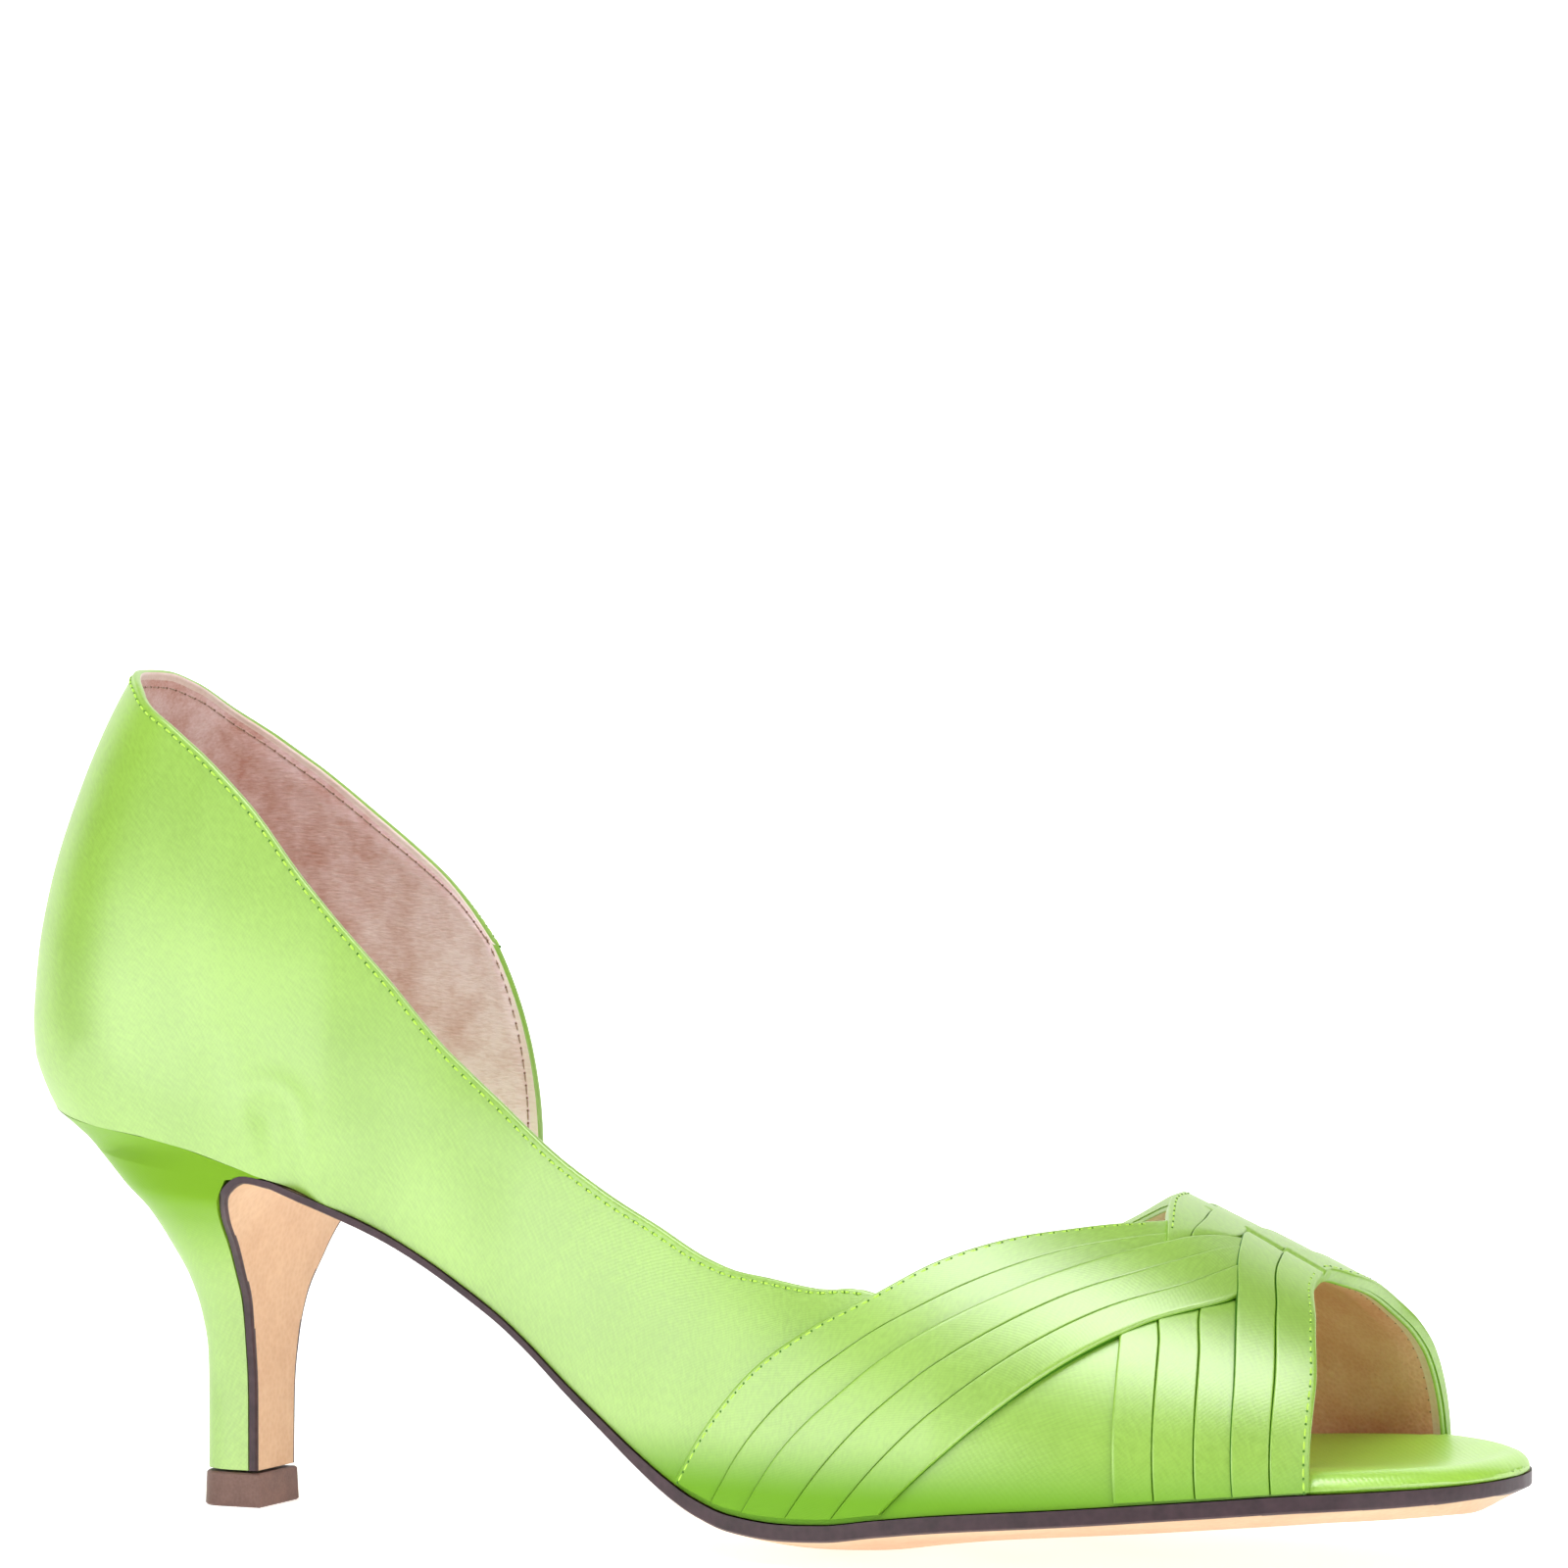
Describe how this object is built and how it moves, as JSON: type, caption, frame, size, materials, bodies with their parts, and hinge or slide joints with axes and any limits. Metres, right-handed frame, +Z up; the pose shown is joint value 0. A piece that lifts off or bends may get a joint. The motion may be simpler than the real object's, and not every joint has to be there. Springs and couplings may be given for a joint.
{
  "type": "peep toe pump",
  "caption": "Right kitten heel peep toe pump with a closed outer side, an open inner waist and a woven pleated vamp in lime satin.",
  "frame": {"origin": "on the top lift's flat bottom, under the heel's stem, on the plane the shoe stands on", "axes": "+X forward to the toe, +Y to the inner (medial) side of the foot, +Z up"},
  "size_m": [0.2332, 0.08, 0.1241],
  "materials": {
    "lime_satin": "satin",
    "lime_satin_insole": "satin",
    "lime_satin_heel": "satin",
    "tan_sole_leather": "smooth",
    "brown_lift_plastic": "matte"
  },
  "bodies": {
    "root": {"upper": "lime_satin", "insole": "lime_satin_insole", "heel": "lime_satin_heel", "outsole": "tan_sole_leather", "top_lift": "brown_lift_plastic"}
  },
  "joints": []
}
